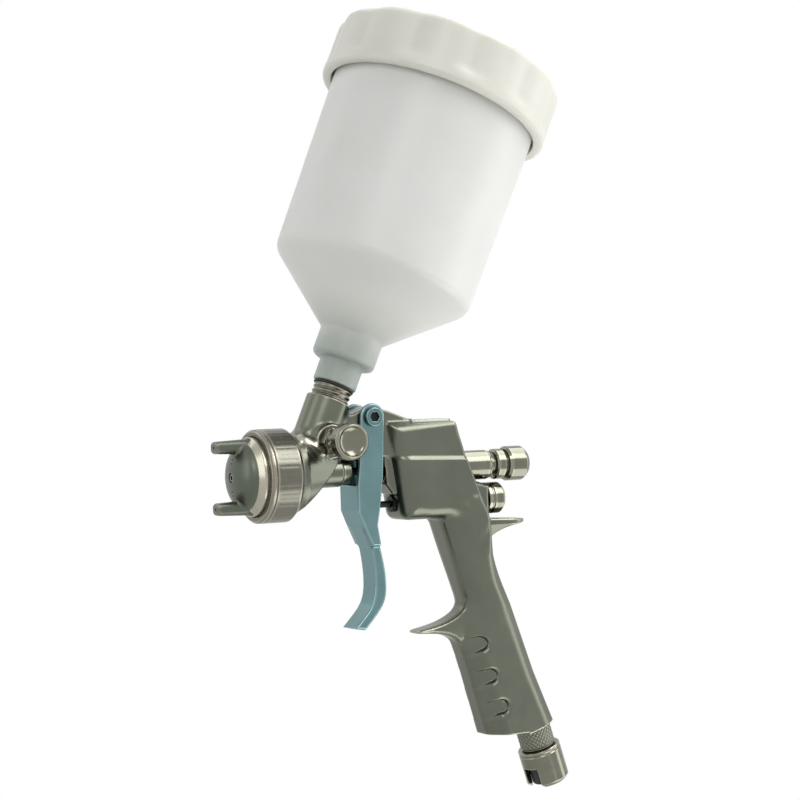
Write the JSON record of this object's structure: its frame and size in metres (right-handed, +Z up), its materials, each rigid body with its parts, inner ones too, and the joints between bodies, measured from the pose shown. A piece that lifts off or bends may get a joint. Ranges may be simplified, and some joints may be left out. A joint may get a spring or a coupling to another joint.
{
  "type": "gravity-feed spray gun",
  "caption": "Gravity-feed spray gun with a leaning translucent cup and screw lid, a horned air cap, a channel trigger that draws the needle and air valve, and a swivel air inlet.",
  "frame": {"origin": "middle of the hand grip, on the mid-plane, 72 mm below the needle's line and 61 mm behind the trigger's pivot", "axes": "-X is where the nozzle points, +Z is up, and y = 0 is the mid-plane"},
  "size_m": [0.1738, 0.1056, 0.3569],
  "materials": {
    "cast_nickel": "satin nickel plate over a forged aluminium body",
    "bright_nickel": "polished nickel plate",
    "steel": "turned stainless steel",
    "brass": "turned brass",
    "blue_metal": "satin blue anodised",
    "milky_plastic": "translucent moulded polyethylene",
    "white_plastic": "moulded polyethylene",
    "black_rubber": "matt"
  },
  "bodies": {
    "gun": {"gun_body": "cast_nickel", "cup_adapter": "steel", "paint_strainer": "white_plastic", "fluid_nozzle": "steel", "air_baffle": "brass", "needle_packing": "white_plastic", "packing_nut": "bright_nickel", "needle_guide": "bright_nickel", "needle_spring": "steel", "air_valve_seat": "brass", "air_valve_plug": "bright_nickel", "air_valve_spring": "steel", "stem_gland": "brass", "stem_packing": "white_plastic", "trigger_stud": "steel", "trigger_screw": "steel", "fan_bushing": "bright_nickel", "inlet_nipple": "bright_nickel", "inlet_seal": "black_rubber"},
    "trigger": {"trigger": "blue_metal"},
    "needle": {"fluid_needle": "steel", "needle_collar": "brass", "needle_lock_nut": "brass"},
    "air_valve": {"air_valve_stem": "steel", "air_valve_disc": "black_rubber"},
    "fluid_stop": {"stop_pad": "steel"},
    "fluid_knob": {"fluid_knob": "bright_nickel"},
    "fan_ring": {"fan_ring": "black_rubber"},
    "fan_knob": {"fan_knob": "bright_nickel", "fan_needle": "steel"},
    "cap_seal": {"cap_seal": "white_plastic"},
    "ring": {"air_cap_ring": "bright_nickel"},
    "air_cap": {"air_cap": "bright_nickel"},
    "cup_gasket": {"cup_gasket": "black_rubber"},
    "cup": {"paint_cup": "milky_plastic"},
    "lid_seal": {"lid_seal": "white_plastic"},
    "lid": {"cup_lid": "white_plastic"},
    "vent_plug": {"vent_plug": "milky_plastic"},
    "inlet_sleeve": {"inlet_sleeve": "bright_nickel"}
  },
  "joints": [
    {"name": "trigger_pull", "type": "hinge", "parent": "gun", "child": "trigger", "pos_m": [-0.061, 0, 0.096], "axis": [0, -1, 0], "range_deg": [0, 14], "stiffness_Nm_per_rad": 1.5, "springref_deg": -22.92},
    {"name": "needle_draw", "type": "slide", "parent": "gun", "child": "needle", "axis": [1, 0, 0], "range_m": [0, 0.0059], "deforming": ["needle_spring"]},
    {"name": "air_valve_open", "type": "slide", "parent": "gun", "child": "air_valve", "axis": [1, 0, 0], "range_m": [0, 0.00965], "deforming": ["air_valve_spring"]},
    {"name": "fluid_stop_travel", "type": "slide", "parent": "gun", "child": "fluid_stop", "axis": [1, 0, 0], "range_m": [-0.00201, 0.00301], "deforming": ["needle_spring"]},
    {"name": "fluid_knob_turn", "type": "hinge", "parent": "fluid_stop", "child": "fluid_knob", "pos_m": [0, 0, 0.072], "axis": [1, 0, 0], "range_deg": [-720, 1080]},
    {"name": "fan_valve_travel", "type": "slide", "parent": "gun", "child": "fan_ring", "axis": [0, -1, 0], "range_m": [-0.00061, 0.00241]},
    {"name": "fan_knob_turn", "type": "hinge", "parent": "fan_ring", "child": "fan_knob", "pos_m": [-0.0833, 0, 0.086], "axis": [0, -1, 0], "range_deg": [-270, 1080]},
    {"name": "cap_travel", "type": "slide", "parent": "gun", "child": "cap_seal", "axis": [-1, 0, 0], "range_m": [0, 0.00451]},
    {"name": "ring_turn", "type": "hinge", "parent": "cap_seal", "child": "ring", "pos_m": [-0.11, 0, 0.072], "axis": [-1, 0, 0], "range_deg": [0, 1080]},
    {"name": "cap_turn", "type": "hinge", "parent": "cap_seal", "child": "air_cap", "pos_m": [-0.12, 0, 0.072], "axis": [-1, 0, 0], "range_deg": [-90, 90]},
    {"name": "cup_lift", "type": "slide", "parent": "gun", "child": "cup_gasket", "axis": [0.4067, 0, 0.9135], "range_m": [0, 0.00601]},
    {"name": "cup_turn", "type": "hinge", "parent": "cup_gasket", "child": "cup", "pos_m": [-0.07795, 0, 0.104], "axis": [0.4067, 0, 0.9135], "range_deg": [0, 1080]},
    {"name": "lid_lift", "type": "slide", "parent": "cup", "child": "lid_seal", "axis": [0.4067, 0, 0.9135], "range_m": [0, 0.00401]},
    {"name": "lid_turn", "type": "hinge", "parent": "lid_seal", "child": "lid", "pos_m": [-0.07795, 0, 0.104], "axis": [0.4067, 0, 0.9135], "range_deg": [0, 360]},
    {"name": "vent_pull", "type": "slide", "parent": "lid", "child": "vent_plug", "axis": [0.4067, 0, 0.9135], "range_m": [0, 0.006]},
    {"name": "sleeve_turn", "type": "hinge", "parent": "gun", "child": "inlet_sleeve", "pos_m": [0.023, 0, -0.053], "axis": [0.2924, 0, -0.9563], "continuous": true}
  ],
  "couplings": [
    {"joint": "needle_draw", "follows": "trigger_pull", "m_per_rad": 0.024},
    {"joint": "air_valve_open", "follows": "trigger_pull", "m_per_rad": 0.0394},
    {"joint": "fluid_stop_travel", "follows": "fluid_knob_turn", "m_per_rad": 0.00015915},
    {"joint": "fan_valve_travel", "follows": "fan_knob_turn", "m_per_rad": 0.00012732},
    {"joint": "cap_travel", "follows": "ring_turn", "m_per_rad": 0.00023873},
    {"joint": "cup_lift", "follows": "cup_turn", "m_per_rad": 0.00031831},
    {"joint": "lid_lift", "follows": "lid_turn", "m_per_rad": 0.00063662}
  ]
}
